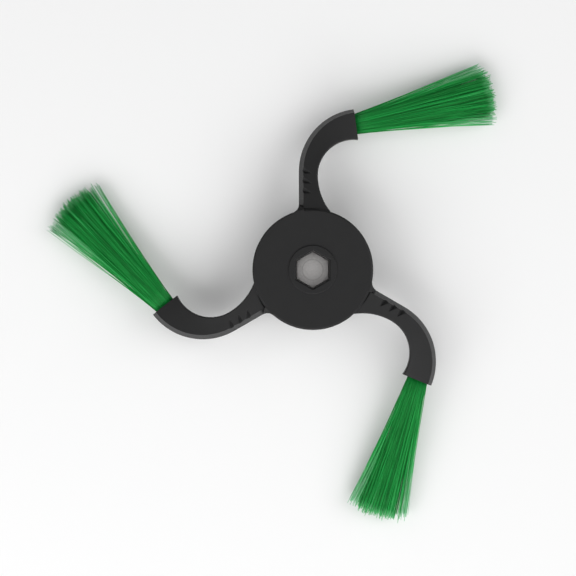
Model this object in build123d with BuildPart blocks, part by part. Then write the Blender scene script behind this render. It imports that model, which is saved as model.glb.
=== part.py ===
"""Robot vacuum side brush.

A black moulded hub carries three arms that sweep clockwise, seen from above, and slope down towards
the floor. A green nylon tuft sits in the end of each arm, and a hexagonal steel plate lies at the
bottom of the drive socket. Millimetres, +Z up. The origin is on the spin axis, in the middle of the
drive socket's mouth. The first arm leaves the hub along +Y and ends pointing along +X.
"""

import os
from math import cos, radians, sin, sqrt, tan

from build123d import *

# Hub: a thick disc with a rounded underside, and a low ring round the drive socket
hub_diameter = 33.0
hub_height = 12.5
foot_diameter = 23.0
rim_chamfer = 0.45
ring_diameter = 13.3
ring_height = 0.4
ring_chamfer = 0.15

# Drive socket: a tapered hexagon that ends on the steel plate
socket_across_flats = 9.2
socket_draft = 2.0
socket_depth = 8.0
socket_lead_in = 0.3
plate_thickness = 1.5
plate_clearance = 0.03
plate_bevel_angle = 3.0
plate_dish_diameter = 5.4
plate_dish_depth = 0.025
plate_dish_wall = 0.5

# Arms: a plan outline of eccentric arcs, on a ramp that falls from the hub to the tuft
arm_count = 3
convex_bend_radius = 17.5
convex_bend_x = 13.7
convex_bend_y = 27.1
concave_bend_radius = 10.15
concave_bend_x = 11.55
concave_bend_y = 25.8
concave_flare_radius = 16.1
concave_flare_turn = 45.0
bend_angle = 82.2
bend_overrun = 20.0
arm_step = 1.0
arm_droop = 9.5
arm_root_thickness = 6.2
arm_end_thickness = 5.2
arm_flank_width = 1.25
arm_flank_height = 4.8
arm_edge_chamfer = 0.3
arm_root_overlap = 3.0
ramp_width = 16.0
ramp_sections = 6

# Arm roots: a crescent groove along the disc's rim, and a gusset that slopes from the disc to the flank
groove_width = 0.3
groove_swing = 1.8
groove_depth = 0.4
gusset_radius = 2.5
gusset_turn = 65.0

# Flex notches in the top of each arm, beside its sloped flank
notch_count = 3
notch_start = 4.3
notch_pitch = 2.74
notch_length = 2.1
notch_valley = 0.8
notch_reach = 2.3
notch_run_out = 0.3
notch_depth = 1.1
notch_lean = 0.1

# Tufts: filaments that fan out of a melted root plug in the arm's end
pocket_width = 5.8
pocket_height = 3.4
pocket_depth = 6.0
plug_clearance = 0.05
plug_recess = 0.8
tuft_turn = 5.5
tuft_droop = 8.0
tuft_length = 39.6
tuft_tip_width = 18.0
tuft_tip_height = 5.6
filament_diameter = 0.4
filament_pitch = 0.46
filament_inset = 0.45
filament_bond = 0.6
ragged_step = 0.5
ragged_steps = 5

# Places worked out from the sizes above
hub_radius = hub_diameter / 2
disc_top = -ring_height
hub_bottom = disc_top - hub_height
belly_radius = hub_radius - foot_diameter / 2
plate_top = -socket_depth
plate_bottom = plate_top - plate_thickness
socket_floor_flats = socket_across_flats + 2 * plate_bottom * tan(radians(socket_draft))
plate_across_flats = socket_floor_flats - 2 * plate_clearance
arm_turn = 360 / arm_count
convex_x = convex_bend_x - convex_bend_radius
flank_x = convex_x + arm_flank_width
concave_x = concave_bend_x - concave_bend_radius
gusset_y = sqrt((hub_radius + gusset_radius) ** 2 - (convex_x - gusset_radius) ** 2)
straight_length = convex_bend_y - hub_radius
bend_radius = (convex_bend_radius + concave_bend_radius) / 2
arm_length = straight_length + bend_radius * radians(bend_angle)


def arm_top(run):
    """Height of the arm's top face after this run along the arm from the disc's rim."""
    return disc_top - arm_step - run * tan(radians(arm_droop))


def arm_thickness(run):
    """Thickness of the arm after this run, which thins evenly towards the tuft."""
    return arm_root_thickness + (arm_end_thickness - arm_root_thickness) * run / arm_length


def ramp_section(run):
    """Section of the ramp that the arm is cut to: a wide strip across the arm after this run."""
    turned = max(0, run - straight_length) / bend_radius
    before_bend = max(0, straight_length - run)
    out = Vector(-cos(turned), sin(turned))
    plane = Plane(
        origin=(convex_bend_x, convex_bend_y - before_bend, 0),
        x_dir=out,
        z_dir=(out.Y, -out.X, 0),
    )
    with BuildSketch(plane) as section:
        with Locations((bend_radius, arm_top(run) - arm_thickness(run) / 2)):
            Rectangle(ramp_width, arm_thickness(run))
    return section.sketch


# Frame of the first tuft: its origin in the middle of the arm's end, its Z along the tuft
end_out = Vector(-cos(radians(bend_angle)), sin(radians(bend_angle)))
apart = Vector(convex_bend_x - concave_bend_x, convex_bend_y - concave_bend_y)
along = apart.dot(end_out)
concave_end = sqrt(along**2 - apart.length**2 + concave_bend_radius**2) - along
end_middle = Vector(convex_bend_x, convex_bend_y) + end_out * (convex_bend_radius + concave_end) / 2
tuft_heading = radians(90 - bend_angle + tuft_turn)
tuft_plane = Plane(
    origin=(end_middle.X, end_middle.Y, arm_top(arm_length) - arm_end_thickness / 2),
    x_dir=(-sin(tuft_heading), cos(tuft_heading), 0),
    z_dir=(
        cos(tuft_heading) * cos(radians(tuft_droop)),
        sin(tuft_heading) * cos(radians(tuft_droop)),
        -sin(radians(tuft_droop)),
    ),
)

# Hub
with BuildPart() as hub:
    with BuildSketch(Plane.XZ):
        with BuildLine():
            foot = Line((0, hub_bottom), (foot_diameter / 2, hub_bottom))
            belly = JernArc(foot @ 1, (1, 0), belly_radius, 90)
            Polyline(
                belly @ 1,
                (hub_radius, disc_top),
                (ring_diameter / 2, disc_top),
                (ring_diameter / 2, 0),
                (0, 0),
                foot @ 0,
            )
        make_face()
    revolve(axis=Axis.Z)
    rim_edges = hub.edges().filter_by_position(Axis.Z, disc_top, disc_top)
    chamfer(rim_edges.sort_by(SortBy.LENGTH)[-1], rim_chamfer)
    chamfer(hub.edges().sort_by(Axis.Z)[-1], ring_chamfer)

# One arm: its outline stands upright and is cut to the ramp, then its convex side gets a sloped flank
outline_turn = bend_angle + bend_overrun
ramp_step = (arm_length + arm_root_overlap) / (ramp_sections - 1)
with BuildPart() as arm:
    with BuildSketch(Plane.XY.offset(hub_bottom)):
        with BuildLine():
            concave = JernArc((concave_x, concave_bend_y), (0, 1), concave_bend_radius, -outline_turn)
            convex = JernArc((convex_x, convex_bend_y), (0, 1), convex_bend_radius, -outline_turn)
            Line(concave @ 1, convex @ 1)
            flare = JernArc(concave @ 0, (0, -1), concave_flare_radius, concave_flare_turn)
            Polyline(convex @ 0, (convex_x, 0), flare @ 1)
        make_face()
    extrude(amount=hub_height)
    ramp = [ramp_section(index * ramp_step - arm_root_overlap) for index in range(ramp_sections)]
    loft(ramp, mode=Mode.INTERSECT)
    ramp_top = arm.faces().sort_by(SortBy.AREA)[-2:].sort_by(Axis.Z)[-1]
    chamfer(ramp_top.edges().sort_by_distance(concave @ 0.5)[0], arm_edge_chamfer)
    ramp_top = arm.faces().sort_by(SortBy.AREA)[-2:].sort_by(Axis.Z)[-1]
    convex_edge = ramp_top.edges().sort_by_distance(convex @ 0.5)[0]
    chamfer(convex_edge, length=arm_flank_width, length2=arm_flank_height, reference=ramp_top)

    # Crescent groove at the root
    with BuildSketch(Plane.XY.offset(arm_top(0) - groove_depth)):
        with Locations((-groove_swing, 0)):
            Circle(hub_radius + groove_width)
    extrude(amount=groove_depth + arm_step, mode=Mode.SUBTRACT)

    # Flex notches: each a valley that runs out to a point, steeper on the side of the hub
    for index in range(notch_count):
        near_run = notch_start + index * notch_pitch
        valley_run = near_run + notch_valley
        far_run = near_run + notch_length
        point_run = near_run + notch_lean
        with BuildSketch(Plane.YZ.offset(flank_x - notch_run_out), mode=Mode.PRIVATE) as valley:
            with BuildLine():
                Polyline(
                    (hub_radius + near_run, arm_top(near_run)),
                    (hub_radius + valley_run, arm_top(valley_run) - notch_depth),
                    (hub_radius + far_run, arm_top(far_run)),
                    (hub_radius + far_run, arm_top(far_run) + notch_depth),
                    (hub_radius + near_run, arm_top(near_run) + notch_depth),
                    close=True,
                )
            make_face()
        point = Vertex(flank_x + notch_reach, hub_radius + point_run, arm_top(point_run))
        loft([valley.sketch.face(), point], mode=Mode.SUBTRACT)

    # Pocket for the tuft's root plug
    with BuildSketch(tuft_plane.offset(-pocket_depth)):
        SlotOverall(pocket_width, pocket_height)
    extrude(amount=pocket_depth + pocket_height, mode=Mode.SUBTRACT)

# Gusset beside one arm's root: its top falls from the disc's rim to the top of the flank
groove_end_y = sqrt((hub_radius + groove_width) ** 2 - (flank_x + groove_swing) ** 2)
gusset_tip = Vector(convex_x, gusset_y)
gusset_fall = disc_top - arm_top(gusset_y - hub_radius)
gusset_run = gusset_tip.length - hub_radius
with BuildPart() as gusset:
    with BuildSketch(Plane.XY.offset(disc_top)):
        with BuildLine():
            root = JernArc(gusset_tip, (0, -1), gusset_radius, -gusset_turn)
            Polyline(root @ 1, (0, 0), (flank_x, groove_end_y), gusset_tip)
        make_face()
    extrude(amount=-arm_step - arm_root_thickness)
    out = gusset_tip.normalized()
    slope = Plane(
        origin=out * hub_radius + Vector(0, 0, disc_top),
        z_dir=out * gusset_fall + Vector(0, 0, gusset_run),
    )
    split(bisect_by=slope, keep=Keep.BOTTOM)

# Body: the hub and its arms are one moulding
with BuildPart() as body:
    add(hub.part)
    with PolarLocations(0, arm_count):
        add(arm.part)
        add(gusset.part)
    with BuildSketch():
        RegularPolygon(socket_across_flats / 2, 6, major_radius=False, rotation=30)
    extrude(amount=plate_bottom, taper=socket_draft, mode=Mode.SUBTRACT)
    mouth = body.edges().filter_by(GeomType.LINE).group_by(Axis.Z)[-1]
    chamfer(mouth, socket_lead_in)

# Steel plate, with bevelled corners and a shallow round dish
with BuildPart() as plate:
    with BuildSketch(Plane.XY.offset(plate_bottom)):
        corner_radius = RegularPolygon(plate_across_flats / 2, 6, major_radius=False, rotation=30).radius
    extrude(amount=plate_thickness)
    with BuildSketch(Plane.XZ):
        with BuildLine():
            bevel_drop = (corner_radius - plate_across_flats / 2) * tan(radians(plate_bevel_angle))
            Polyline(
                (plate_across_flats / 2, plate_top),
                (corner_radius, plate_top),
                (corner_radius, plate_top - bevel_drop),
                close=True,
            )
        make_face()
    revolve(axis=Axis.Z, mode=Mode.SUBTRACT)
    with BuildSketch(Plane.XZ):
        with BuildLine():
            Polyline(
                (0, plate_top),
                (plate_dish_diameter / 2, plate_top),
                (plate_dish_diameter / 2 - plate_dish_wall, plate_top - plate_dish_depth),
                (0, plate_top - plate_dish_depth),
                close=True,
            )
        make_face()
    revolve(axis=Axis.Z, mode=Mode.SUBTRACT)

# One tuft: the plug in its pocket, and filaments on a staggered grid that fans out to the tip
plug_width = pocket_width - 2 * plug_clearance
plug_height = pocket_height - 2 * plug_clearance
grid_height = plug_height - 2 * filament_inset
grid_width = plug_width - 2 * filament_inset
row_pitch = filament_pitch * sqrt(3) / 2
row_limit = int(grid_height / 2 / row_pitch)
column_limit = int(grid_width / 2 / filament_pitch) + 1
fan_across = (tuft_tip_width - filament_diameter) / grid_width
fan_up = (tuft_tip_height - filament_diameter) / grid_height


def filament_roots():
    """Places of the filaments on the plug's face: a staggered grid inside the plug's rounded outline."""
    for row in range(-row_limit, row_limit + 1):
        up = row * row_pitch
        half_row = (grid_width - grid_height) / 2 + sqrt((grid_height / 2) ** 2 - up**2)
        for column in range(-column_limit, column_limit + 1):
            across = (column + row % 2 / 2) * filament_pitch
            if abs(across) <= half_row:
                yield across, up


with BuildPart() as tuft:
    with BuildSketch(tuft_plane.offset(plug_clearance - pocket_depth)):
        SlotOverall(plug_width, plug_height)
    extrude(amount=pocket_depth - plug_clearance - plug_recess)
    roots = list(filament_roots())
    for step in range(ragged_steps):
        for across, up in roots[step::ragged_steps]:
            root = Vector(across, up, -plug_recess - filament_bond)
            tip = Vector(across * fan_across, up * fan_up, tuft_length)
            start = tuft_plane.from_local_coords(root)
            heading = tuft_plane.from_local_coords(tip) - start
            with BuildSketch(Plane(origin=start, x_dir=tuft_plane.x_dir.cross(heading), z_dir=heading)):
                RegularPolygon(filament_diameter / 2, 6)
        extrude(amount=tuft_length + plug_recess + filament_bond - step * ragged_step)

os.makedirs("parts", exist_ok=True)
body.part.label = "brush_body"
export_step(body.part, "parts/brush_body.step")
plate.part.label = "steel_plate"
export_step(plate.part, "parts/steel_plate.step")
for index in range(arm_count):
    with BuildPart() as turned_tuft:
        with PolarLocations(0, 1, start_angle=index * arm_turn):
            add(tuft.part)
    turned_tuft.part.label = f"bristle_tuft_{index + 1}"
    export_step(turned_tuft.part, f"parts/bristle_tuft_{index + 1}.step")
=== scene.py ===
"""Looks of the robot vacuum side brush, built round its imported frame.

The hub with its arms and the steel plate are the frame's own solids, finished here as grained black
plastic and turned steel. Each bristle tuft is made again as several hundred nylon filaments, which start
in the tuft's root plug and fan out as far as the frame's tuft does. Metres, +Z up.
"""

import math
from types import SimpleNamespace

import bpy
import numpy as np
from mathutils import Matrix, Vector


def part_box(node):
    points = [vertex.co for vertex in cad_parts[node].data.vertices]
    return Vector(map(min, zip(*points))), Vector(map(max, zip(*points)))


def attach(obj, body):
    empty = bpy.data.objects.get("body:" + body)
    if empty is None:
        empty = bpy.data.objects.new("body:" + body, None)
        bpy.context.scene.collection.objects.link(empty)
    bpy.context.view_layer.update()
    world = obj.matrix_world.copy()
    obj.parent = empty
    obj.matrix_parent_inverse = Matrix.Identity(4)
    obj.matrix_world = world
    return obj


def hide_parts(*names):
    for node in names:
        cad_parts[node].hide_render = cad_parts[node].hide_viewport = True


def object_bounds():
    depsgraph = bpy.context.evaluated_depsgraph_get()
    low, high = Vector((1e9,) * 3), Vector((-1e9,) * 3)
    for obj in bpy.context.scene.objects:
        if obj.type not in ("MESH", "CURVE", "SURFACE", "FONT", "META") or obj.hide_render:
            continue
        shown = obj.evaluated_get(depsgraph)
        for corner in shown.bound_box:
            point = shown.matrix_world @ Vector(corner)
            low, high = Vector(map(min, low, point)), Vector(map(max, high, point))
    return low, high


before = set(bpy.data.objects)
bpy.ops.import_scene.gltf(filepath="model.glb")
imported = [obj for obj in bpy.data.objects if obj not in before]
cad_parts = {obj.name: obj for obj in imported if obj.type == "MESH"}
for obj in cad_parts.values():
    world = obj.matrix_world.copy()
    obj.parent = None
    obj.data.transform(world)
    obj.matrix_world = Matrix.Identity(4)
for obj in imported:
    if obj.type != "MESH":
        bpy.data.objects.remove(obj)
cad_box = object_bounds()

# Camera: straight above the brush, with a long lens. Photo right is +X and photo up is +Y
image_pixels = 576
metres_per_pixel = 0.0002728
camera_height = 0.8
hub_pixel_x = 312.87
hub_pixel_y = 269.61
sensor_width = 36.0

# Surround: soft white light that is brighter on the photo's lower right
surround_colour = (1.0, 1.0, 1.0)
surround_bearing = 305.0
surround_edge = 0.55
surround_bright = 0.63
surround_dark = 0.09

# Lamps: bearing and height in degrees and power in watts. Those on the photo's upper side are weak
lamp_size = 0.6
lamp_distance = 0.8
lamps = {
    "front_lamp": (275.0, 40.0, 2.5),
    "left_lamp": (215.0, 38.0, 2.55),
    "right_lamp": (6.0, 40.0, 2.0),
    "top_lamp": (110.0, 70.0, 0.35),
    "back_lamp": (140.0, 32.0, 0.7),
}

# Floor
floor_size = 8.0
floor_colour = (0.9, 0.9, 0.9)
floor_roughness = 1.0
floor_shine = 0.0

# Noise: levels of detail, and the part of its range that most of it lies in
mottle_detail = 4.0
grain_detail = 3.0
noise_middle = (0.3, 0.7)

# Black plastic
plastic_dark = (0.0095, 0.0095, 0.0098)
plastic_light = (0.0125, 0.0125, 0.0129)
# Paler colour of the edges: partly wear, partly a painted highlight
plastic_wear_and_highlight = (0.03, 0.03, 0.0308)
plastic_roughness = (0.46, 0.58)
plastic_shine = 0.3
plastic_mottle_scale = 260.0
plastic_grain_scale = 3600.0
plastic_grain_height = 0.000012
edge_radius = 0.00016
edge_samples = 6
edge_turn = 0.08

# Steel plate
steel_dark = (0.33, 0.322, 0.316)
steel_light = (0.59, 0.575, 0.566)
# Painted highlight colour of the plate's bright middle
steel_painted_bright = (0.83, 0.812, 0.803)
steel_roughness = (0.32, 0.44)
steel_mottle_scale = 1500.0
turning_pitch = 0.00014
turning_height = 0.000006
turning_strength = 0.3
turning_wander = 1.5

# Painted light on the plate at each distance from its middle: a painted bright middle, a painted dark ring
# round it, and painted shade out towards the socket walls
painted_light_radius = 0.0042
painted_light_shares = (
    (painted_light_radius, 0.36),
    (0.0036, 0.33),
    (0.0031, 0.5),
    (0.00286, 0.0),
    (0.00265, 0.48),
    (0.0021, 0.66),
    (0.0015, 0.87),
    (0.0, 1.0),
)

# Radians that a wave texture of scale 1 goes through in one metre
wave_rate = 20.0

# Green nylon, with a painted glow that pales the last part of each filament's length
nylon_dark = (0.005, 0.13, 0.021)
nylon_main = (0.007, 0.265, 0.042)
nylon_light = (0.015, 0.44, 0.08)
# Painted glow: the palest green, on the tips and the loose fringe
nylon_painted_glow = (0.26, 0.58, 0.35)
nylon_roughness = 0.44
nylon_shine = 0.25
painted_glow_start = 0.96

# Values that the filaments carry point by point: their shade, and how far along the filament a point is
shade_value = "strand"
reach_value = "reach"

# Shades of the filaments, from 0, darkest, to 1, palest
root_shade = (0.2, 0.47)
# Painted light: the core's tip shades lie higher than the root's, against the shade between parting
# filaments
core_shade_and_painted_light = (0.08, 0.76)
# Painted glow: the fringe's shades run up into the palest green
fringe_shade_and_glow = (0.75, 1.0)
plug_shade = 0.2

# Filaments and the plug that holds them
filament_diameter = 0.000145
filament_pitch = 0.000155
filament_embed = 0.0003
filament_sides = 6
filament_rings = 8
plug_corners = 24

# Spread of the filaments: the dense core's share of the tuft's width, the numbers in the leading and the
# trailing fringe, how many times as many outer filaments these are drawn from, and the strays' reach
root_jitter = 0.00003
tip_scatter = (0.0006, 0.0003)
core_spread = 0.76
fringe_counts = (30, 34)
fringe_depth = 3
fringe_thinning = 1.1
stray_spread = (1.08, 1.16)

# Lengths of the filaments, as shares of the tuft's length: the longest, and by how much others are shorter
length_gain = 1.027
length_scatter = 0.07
length_bunching = 0.4
tip_rounding = 0.02

# Bends of the filaments: the share of the spread that comes late, and the height of a slight wave
bell_share = (0.1, 0.4)
wave_height = 0.0003

# Map that the filaments' greens are baked through: a grid of cells, one for each filament
bake_map = "OFBake"
bake_columns = 32
bake_margin = 0.1
bake_cap_middle = 0.5
bake_cap_height = 1.06
bake_cap_radius = 0.04

# Each tuft's seed, how far its leading and trailing fringes reach, as shares of the frame's tuft, and how
# many filaments stray further on the trailing side
tuft_looks = {
    "bristle_tuft_1": (11, (-1.03, 1.03), 0),
    "bristle_tuft_2": (29, (-1.1, 1.06), 3),
    "bristle_tuft_3": (41, (-0.97, 0.99), 0),
}


def principled(name, values):
    """A new material with its Principled shader's sockets set to these values."""
    material = bpy.data.materials.new(name)
    material.use_nodes = True
    shader = material.node_tree.nodes["Principled BSDF"]
    for socket, value in values.items():
        shader.inputs[socket].default_value = value
    return material, material.node_tree, shader


def object_place(tree):
    """Places on the surface, in the object's own metres."""
    return tree.nodes.new("ShaderNodeTexCoord").outputs["Object"]


def noise(tree, scale, detail):
    """Noise over the surface, with its scale in waves to the metre."""
    texture = tree.nodes.new("ShaderNodeTexNoise")
    texture.inputs["Scale"].default_value = scale
    texture.inputs["Detail"].default_value = detail
    tree.links.new(object_place(tree), texture.inputs["Vector"])
    return texture.outputs["Fac"]


def placed_ramp(tree, factor, stops):
    """Colours at these rising places of the factor, with straight runs between them."""
    ramp = tree.nodes.new("ShaderNodeValToRGB")
    elements = ramp.color_ramp.elements
    while len(elements) < len(stops):
        elements.new(1.0)
    for index, (place, colour) in enumerate(stops):
        elements[index].position = place
        elements[index].color = (*colour, 1.0)
    tree.links.new(factor, ramp.inputs["Fac"])
    return ramp.outputs["Color"]


def colour_ramp(tree, factor, *colours):
    """Colours spread evenly over the factor."""
    last = len(colours) - 1
    return placed_ramp(tree, factor, [(index / last, colour) for index, colour in enumerate(colours)])


def value_range(tree, factor, low, high):
    """A noise's middle stretched to run from low to high."""
    stretch = tree.nodes.new("ShaderNodeMapRange")
    ends = (*noise_middle, low, high)
    for socket, value in zip(("From Min", "From Max", "To Min", "To Max"), ends):
        stretch.inputs[socket].default_value = value
    tree.links.new(factor, stretch.inputs["Value"])
    return stretch.outputs["Result"]


def bump(tree, height, distance, strength=1.0, base=None):
    """A normal that follows this height over the base normal, with the distance in metres."""
    raised = tree.nodes.new("ShaderNodeBump")
    raised.inputs["Strength"].default_value = strength
    raised.inputs["Distance"].default_value = distance
    tree.links.new(height, raised.inputs["Height"])
    if base:
        tree.links.new(base, raised.inputs["Normal"])
    return raised.outputs["Normal"]


def mix(tree, factor, first, second):
    """A colour that goes from the first to the second with the factor."""
    blend = tree.nodes.new("ShaderNodeMix")
    blend.data_type = "RGBA"
    tree.links.new(factor, blend.inputs["Factor"])
    tree.links.new(first, blend.inputs["A"])
    tree.links.new(second, blend.inputs["B"])
    return blend.outputs["Result"]


def worn_and_highlit_edges(tree):
    """A normal that rounds sharp edges off, and a factor that is 1 on those edges, where wear and a
    painted highlight go.
    """
    rounded = tree.nodes.new("ShaderNodeBevel")
    rounded.samples = edge_samples
    rounded.inputs["Radius"].default_value = edge_radius
    surface = tree.nodes.new("ShaderNodeNewGeometry")
    turn = tree.nodes.new("ShaderNodeVectorMath")
    turn.operation = "DOT_PRODUCT"
    tree.links.new(rounded.outputs["Normal"], turn.inputs[0])
    tree.links.new(surface.outputs["True Normal"], turn.inputs[1])
    edge = tree.nodes.new("ShaderNodeMapRange")
    edge.inputs["From Min"].default_value = 1.0
    edge.inputs["From Max"].default_value = 1.0 - edge_turn
    tree.links.new(turn.outputs["Value"], edge.inputs["Value"])
    return rounded.outputs["Normal"], edge.outputs["Result"]


def black_plastic():
    """Moulded black plastic: a fine even grain, faint mottling, a slight sheen and paler edges, partly
    wear and partly a painted highlight.
    """
    material, tree, shader = principled("black_plastic", {"Specular IOR Level": plastic_shine})
    mottle = noise(tree, plastic_mottle_scale, mottle_detail)
    grain = noise(tree, plastic_grain_scale, grain_detail)
    rounded, edge = worn_and_highlit_edges(tree)
    body = colour_ramp(tree, mottle, plastic_dark, plastic_light)
    worn_and_highlit = colour_ramp(tree, mottle, plastic_light, plastic_wear_and_highlight)
    # The edges are paler: partly wear, partly a painted highlight
    tree.links.new(mix(tree, edge, body, worn_and_highlit), shader.inputs["Base Color"])
    tree.links.new(value_range(tree, grain, *plastic_roughness), shader.inputs["Roughness"])
    tree.links.new(bump(tree, grain, plastic_grain_height, base=rounded), shader.inputs["Normal"])
    return material


def turning_rings(tree):
    """The height of the fine rings that turning leaves round the plate's axis."""
    rings = tree.nodes.new("ShaderNodeTexWave")
    rings.wave_type = "RINGS"
    rings.rings_direction = "Z"
    rings.inputs["Scale"].default_value = 2 * math.pi / (wave_rate * turning_pitch)
    rings.inputs["Distortion"].default_value = turning_wander
    tree.links.new(object_place(tree), rings.inputs["Vector"])
    return rings.outputs["Fac"]


def plate_painted_light(tree, plate_middle):
    """Painted light on the plate, from 0 to 1, by the distance from its middle."""
    offset = tree.nodes.new("ShaderNodeMapping")
    offset.inputs["Location"].default_value = -plate_middle / painted_light_radius
    offset.inputs["Scale"].default_value = [1 / painted_light_radius] * 3
    nearness = tree.nodes.new("ShaderNodeTexGradient")
    nearness.gradient_type = "SPHERICAL"
    tree.links.new(object_place(tree), offset.inputs["Vector"])
    tree.links.new(offset.outputs["Vector"], nearness.inputs["Vector"])
    stops = [(1 - distance / painted_light_radius, (share,) * 3) for distance, share in painted_light_shares]
    return placed_ramp(tree, nearness.outputs["Fac"], stops)


def plate_steel(plate_middle):
    """Pressed steel, dull, with fine turning rings, and painted light: brighter in the middle, a painted
    dark ring round it, and painted shade towards the socket walls.
    """
    material, tree, shader = principled("plate_steel", {"Metallic": 1.0})
    mottle = noise(tree, steel_mottle_scale, mottle_detail)
    shaded_steel = colour_ramp(tree, mottle, steel_dark, steel_light)
    lit_steel = colour_ramp(tree, mottle, steel_light, steel_painted_bright)
    # Painted light and shade on the plate: brighter in the middle, darker in a ring and towards the socket
    # walls
    colour = mix(tree, plate_painted_light(tree, plate_middle), shaded_steel, lit_steel)
    turned = bump(tree, turning_rings(tree), turning_height, turning_strength)
    tree.links.new(colour, shader.inputs["Base Color"])
    tree.links.new(value_range(tree, mottle, *steel_roughness), shader.inputs["Roughness"])
    tree.links.new(turned, shader.inputs["Normal"])
    return material


def carried_value(tree, name):
    """A value that the filaments carry point by point."""
    value = tree.nodes.new("ShaderNodeAttribute")
    value.attribute_name = name
    return value.outputs["Fac"]


def green_nylon():
    """Extruded nylon: each filament has its own green, and a painted glow pales it towards its cut tip."""
    material, tree, shader = principled(
        "green_nylon", {"Roughness": nylon_roughness, "Specular IOR Level": nylon_shine}
    )
    shade = carried_value(tree, shade_value)
    greens = colour_ramp(tree, shade, nylon_dark, nylon_main, nylon_light, nylon_painted_glow)
    # Painted glow: the paler greens that the tips turn to
    pale = colour_ramp(tree, shade, nylon_light, nylon_painted_glow)
    tip = tree.nodes.new("ShaderNodeMapRange")
    tip.inputs["From Min"].default_value = painted_glow_start
    tree.links.new(carried_value(tree, reach_value), tip.inputs["Value"])
    tree.links.new(mix(tree, tip.outputs["Result"], greens, pale), shader.inputs["Base Color"])
    return material


def tuft_frame(node):
    """Axes and sizes of a tuft, measured on the frame's own tuft of straight rods and a root plug."""
    points = np.array([vertex.co for vertex in node.data.vertices])
    along = Vector(np.linalg.svd(points - points.mean(0), full_matrices=False)[2][0])
    if along.dot(points.mean(0)) < 0:
        along.negate()
    across = Vector((0, 0, 1)).cross(along).normalized()
    up = along.cross(across)
    local = points @ np.array([along, across, up]).T
    middle = (local[:, 0].min() + local[:, 0].max()) / 2
    root = local[local[:, 0] < middle]
    tip = local[local[:, 0] > middle]
    centre = (root.min(0) + root.max(0)) / 2
    return SimpleNamespace(
        axes=np.array([along, across, up]),
        centre=np.array([root[:, 0].max(), centre[1], centre[2]]),
        plug_depth=np.ptp(root[:, 0]),
        plug_half=np.ptp(root[:, 1:], axis=0) / 2,
        tip_half=np.ptp(tip[:, 1:], axis=0) / 2,
        length=local[:, 0].max() - root[:, 0].max(),
    )


def strand_roots(tuft, rng):
    """Places of the filaments on the plug's face: a staggered grid inside its rounded outline."""
    half_width, half_height = tuft.plug_half - filament_diameter
    row_pitch = filament_pitch * math.sqrt(3) / 2
    rows = int(half_height / row_pitch)
    columns = int(half_width / filament_pitch) + 1
    places = []
    for row in range(-rows, rows + 1):
        height = row * row_pitch
        half_row = half_width - half_height + math.sqrt(half_height**2 - height**2)
        for column in range(-columns, columns + 1):
            across = (column + row % 2 / 2) * filament_pitch
            if abs(across) <= half_row:
                places.append((across, height))
    places = np.array(places)
    return places + rng.normal(0, root_jitter, places.shape)


def strand_tips(tuft, roots, fringe_reaches, strays, rng):
    """How far across and up the filaments' tips lie, and which filaments are loose ones."""
    tips = roots / tuft.plug_half * tuft.tip_half * core_spread
    core_edge = tips[:, 0].max()
    tips += rng.normal(0, tip_scatter, tips.shape)

    # Some of the outer filaments spread into a fringe that thins outwards, and a few stray further
    loose = np.zeros(len(roots), bool)
    outward = np.argsort(-roots[:, 0])
    for number, reach, edge in zip(fringe_counts, fringe_reaches, (outward[::-1], outward)):
        chosen = edge[np.sort(rng.choice(fringe_depth * number, number, replace=False))]
        share = 1 - (np.arange(number) + rng.random(number)) / number
        start = math.copysign(core_edge, reach)
        tips[chosen, 0] = start + (reach * tuft.tip_half[0] - start) * share**fringe_thinning
        loose[chosen] = True
    tips[outward[:strays], 0] = tuft.tip_half[0] * rng.uniform(*stray_spread, strays)
    loose[outward[:strays]] = True
    return tips, loose


def strand_paths(tuft, fringe_reaches, strays, rng):
    """Centre lines of a tuft's filaments, from the middle of the plug's face, and which are loose."""
    roots = strand_roots(tuft, rng)
    tips, loose = strand_tips(tuft, roots, fringe_reaches, strays, rng)
    count = len(roots)
    length = tuft.length * (length_gain - length_scatter * rng.random(count) ** length_bunching)
    length *= 1 - tip_rounding * (tips[:, 0] / tuft.tip_half[0]) ** 2
    along = np.sqrt(length**2 - ((tips - roots) ** 2).sum(1))
    reach = np.linspace(0, 1, filament_rings)[None, :, None]
    bell = rng.uniform(*bell_share, (count, 1, 1))
    spread = (1 - bell) * reach + bell * reach**2
    phase = rng.uniform(0, 2 * math.pi, (count, 1, 2))
    wave = wave_height * rng.random((count, 1, 1)) * reach * np.sin(2 * math.pi * reach + phase)
    sideways = roots[:, None] + (tips - roots)[:, None] * spread + wave
    run = along[:, None, None] * reach - filament_embed * (1 - reach)
    return np.concatenate([run, sideways], axis=2), loose


def tube_faces(count, rings, sides):
    """Faces of tubes whose points come ring by ring: the walls, then the root caps and the tip caps."""
    side = np.arange(sides)
    following = (side + 1) % sides
    low = np.arange(count * rings).reshape(count, rings, 1)[:, :-1] * sides
    high = low + sides
    walls = np.stack([low + side, low + following, high + following, high + side], axis=-1)
    first = np.arange(count)[:, None] * rings * sides
    caps = np.concatenate([first + side[::-1], first + (rings - 1) * sides + side])
    return walls.reshape(-1, 4).tolist() + caps.tolist()


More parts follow.
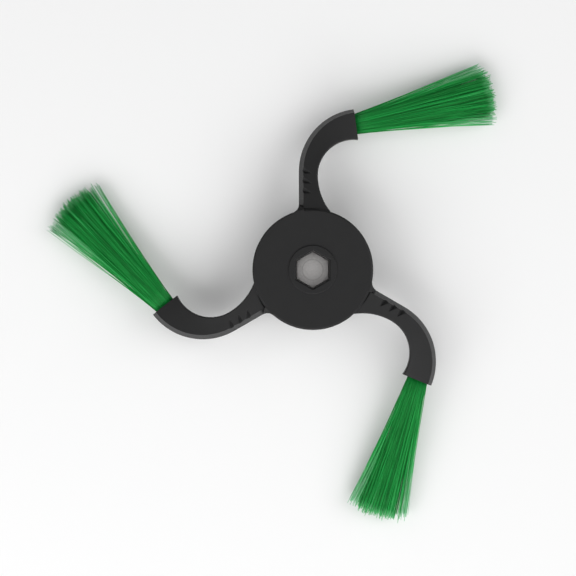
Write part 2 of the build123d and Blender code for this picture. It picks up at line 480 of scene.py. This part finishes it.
def tube_map(first_cell, rows, count, rings, sides):
    """Bake coordinates of the corners of tube_faces: each tube has a cell, its walls between its caps."""
    cell = first_cell + np.arange(count)
    corner = np.stack([cell % bake_columns, cell // bake_columns], 1) + bake_margin
    left = np.arange(sides) / sides
    low = np.arange(rings - 1) / (rings - 1)
    right, high = left + 1 / sides, low + 1 / (rings - 1)
    across = np.stack([left, right, right, left], 1)[None]
    upward = np.stack([low, low, high, high], 1)[:, None]
    wall = np.stack(np.broadcast_arrays(across, upward), -1).reshape(-1, 2)
    turns = 2 * math.pi * left
    cap = np.stack([np.cos(turns), np.sin(turns)], 1) * bake_cap_radius
    root_cap = cap + (bake_cap_middle, 1 - bake_cap_height)
    tip_cap = cap + (bake_cap_middle, bake_cap_height)
    inner = 1 - 2 * bake_margin
    places = [(corner[:, None] + part * inner).reshape(-1, 2) for part in (wall, root_cap, tip_cap)]
    return np.concatenate(places) / (bake_columns, rows)


def strand_points(paths):
    """Points of the filaments, as rings round their centre lines."""
    turns = 2 * math.pi * np.arange(filament_sides) / filament_sides
    circle = np.stack([np.zeros_like(turns), np.cos(turns), np.sin(turns)], 1) * filament_diameter / 2
    return (paths[:, :, None] + circle).reshape(-1, 3)


def plug_points(tuft):
    """Points of a tuft's plug: its rounded outline at the back and then at the face."""
    # The outline starts half a step on, so that none of its corners lies on the middle line
    turns = 2 * math.pi * (np.arange(plug_corners) + 0.5) / plug_corners
    half_width, half_height = tuft.plug_half
    across = half_height * np.cos(turns) + (half_width - half_height) * np.sign(np.cos(turns))
    up = half_height * np.sin(turns)
    ends = (-tuft.plug_depth, 0.0)
    return np.concatenate([np.stack([np.full_like(turns, end), across, up], 1) for end in ends])


def carry(mesh, name, strand_values, plug_value):
    """Gives the points of a tuft's mesh a value, ring by ring on its filaments and one on its plug."""
    on_strands = np.repeat(strand_values, filament_sides)
    values = np.concatenate([on_strands, np.full(2 * plug_corners, plug_value)])
    attribute = mesh.attributes.new(name, "FLOAT", "POINT")
    attribute.data.foreach_set("value", values.astype(np.float32))


def carry_shades(mesh, loose, rng):
    """Gives each filament of a tuft its own shade from root to tip, painted lighter towards the tip, and
    its points their reach.
    """
    reach = np.tile(np.linspace(0, 1, filament_rings), (len(loose), 1))
    rank = rng.random(len(loose))
    root = np.interp(rank, (0, 1), root_shade)
    # Painted light at the tips: lighter core shades, and a painted glow on the loose fringe
    tip = np.where(loose, np.interp(rank, (0, 1), fringe_shade_and_glow), np.interp(rank, (0, 1), core_shade_and_painted_light))
    carry(mesh, shade_value, root[:, None] + (tip - root)[:, None] * reach, plug_shade)
    carry(mesh, reach_value, reach, 0.0)


def lay_bake_map(mesh, count):
    """Gives a tuft's mesh its bake coordinates: a cell for each filament and one for the plug."""
    rows = math.ceil((count + 1) / bake_columns)
    strand_map = tube_map(0, rows, count, filament_rings, filament_sides)
    plug_map = tube_map(count, rows, 1, 2, plug_corners)
    layer = mesh.uv_layers.new(name=bake_map)
    layer.data.foreach_set("uv", np.concatenate([strand_map, plug_map]).astype(np.float32).ravel())


def filament_mesh(name, tuft, fringe_reaches, strays, rng):
    """One mesh of a tuft: its filaments, as thin tubes cut off square, and the plug that holds them."""
    paths, loose = strand_paths(tuft, fringe_reaches, strays, rng)
    strands = strand_points(paths)
    points = (np.concatenate([strands, plug_points(tuft)]) + tuft.centre) @ tuft.axes
    faces = tube_faces(len(paths), filament_rings, filament_sides)
    faces += [[len(strands) + corner for corner in face] for face in tube_faces(1, 2, plug_corners)]
    mesh = bpy.data.meshes.new(name)
    mesh.from_pydata(points.tolist(), [], faces)

    # The walls have four corners and are smooth. The caps have more and stay flat
    mesh.polygons.foreach_set("use_smooth", [len(face) == 4 for face in faces])
    carry_shades(mesh, loose, rng)
    lay_bake_map(mesh, len(paths))
    return mesh


def add_tuft(node_name, material):
    """A tuft of filaments in place of the frame's plain one."""
    seed, fringe_reaches, strays = tuft_looks[node_name]
    name = node_name.replace("bristle", "nylon")
    measures = tuft_frame(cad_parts[node_name])
    mesh = filament_mesh(name, measures, fringe_reaches, strays, np.random.default_rng(seed))
    mesh.materials.append(material)
    tuft = bpy.data.objects.new(name, mesh)
    bpy.context.scene.collection.objects.link(tuft)
    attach(tuft, "root")
    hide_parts(node_name)


def dress(node_name, material):
    """Gives a solid of the frame its material."""
    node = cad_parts[node_name]
    node.data.materials.clear()
    node.data.materials.append(material)


def add_floor(height):
    """A plain pale floor under the bristle tips."""
    half = floor_size / 2
    corners = [(-half, -half, height), (half, -half, height), (half, half, height), (-half, half, height)]
    mesh = bpy.data.meshes.new("floor")
    mesh.from_pydata(corners, [], [(0, 1, 2, 3)])
    colour = (*floor_colour, 1.0)
    finish = {"Base Color": colour, "Roughness": floor_roughness, "Specular IOR Level": floor_shine}
    mesh.materials.append(principled("pale_floor", finish)[0])
    floor = bpy.data.objects.new("floor", mesh)
    bpy.context.scene.collection.objects.link(floor)


def add_surround():
    """A soft surround, brighter on one side."""
    world = bpy.data.worlds.new("surround")
    world.use_nodes = True
    bpy.context.scene.world = world
    tree = world.node_tree
    place = tree.nodes.new("ShaderNodeTexCoord")
    facing = tree.nodes.new("ShaderNodeVectorMath")
    facing.operation = "DOT_PRODUCT"
    bearing = math.radians(surround_bearing)
    facing.inputs[1].default_value = (math.cos(bearing), math.sin(bearing), 0.0)
    slope = tree.nodes.new("ShaderNodeMapRange")
    slope.interpolation_type = "SMOOTHSTEP"
    slope.inputs["From Min"].default_value = -surround_edge
    slope.inputs["From Max"].default_value = surround_edge
    slope.inputs["To Min"].default_value = surround_dark
    slope.inputs["To Max"].default_value = surround_bright
    background = tree.nodes["Background"]
    background.inputs["Color"].default_value = (*surround_colour, 1.0)
    tree.links.new(place.outputs["Generated"], facing.inputs[0])
    tree.links.new(facing.outputs["Value"], slope.inputs["Value"])
    tree.links.new(slope.outputs["Result"], background.inputs["Strength"])


def add_lamp(name, bearing, height, power):
    """A large soft lamp in this direction, aimed at the brush."""
    lamp = bpy.data.lights.new(name, "AREA")
    lamp.energy = power
    lamp.size = lamp_size
    bearing, height = math.radians(bearing), math.radians(height)
    side = Vector((math.cos(bearing), math.sin(bearing), 0)) * math.cos(height)
    holder = bpy.data.objects.new(name, lamp)
    holder.location = (side + Vector((0, 0, math.sin(height)))) * lamp_distance
    holder.rotation_euler = holder.location.to_track_quat("Z", "Y").to_euler()
    bpy.context.scene.collection.objects.link(holder)


def add_camera():
    """The photo's view: straight down, with the hub where the photo has it."""
    data = bpy.data.cameras.new("camera")
    data.sensor_width = sensor_width
    data.lens = sensor_width * camera_height / (image_pixels * metres_per_pixel)
    camera = bpy.data.objects.new("camera", data)
    hub_right = (hub_pixel_x - image_pixels / 2) * metres_per_pixel
    hub_above = (image_pixels / 2 - hub_pixel_y) * metres_per_pixel
    camera.location = (-hub_right, -hub_above, camera_height)
    bpy.context.scene.collection.objects.link(camera)
    bpy.context.scene.camera = camera


dress("brush_body", black_plastic())
plate_low, plate_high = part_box("steel_plate")
plate_middle = Vector((plate_low[0] + plate_high[0], plate_low[1] + plate_high[1], 2 * plate_high[2])) / 2
dress("steel_plate", plate_steel(plate_middle))
nylon = green_nylon()
for tuft_name in tuft_looks:
    add_tuft(tuft_name, nylon)
add_floor(cad_box[0][2])
add_surround()
for lamp_name, aim in lamps.items():
    add_lamp(lamp_name, *aim)
add_camera()
bpy.context.scene.view_settings.view_transform = "Standard"
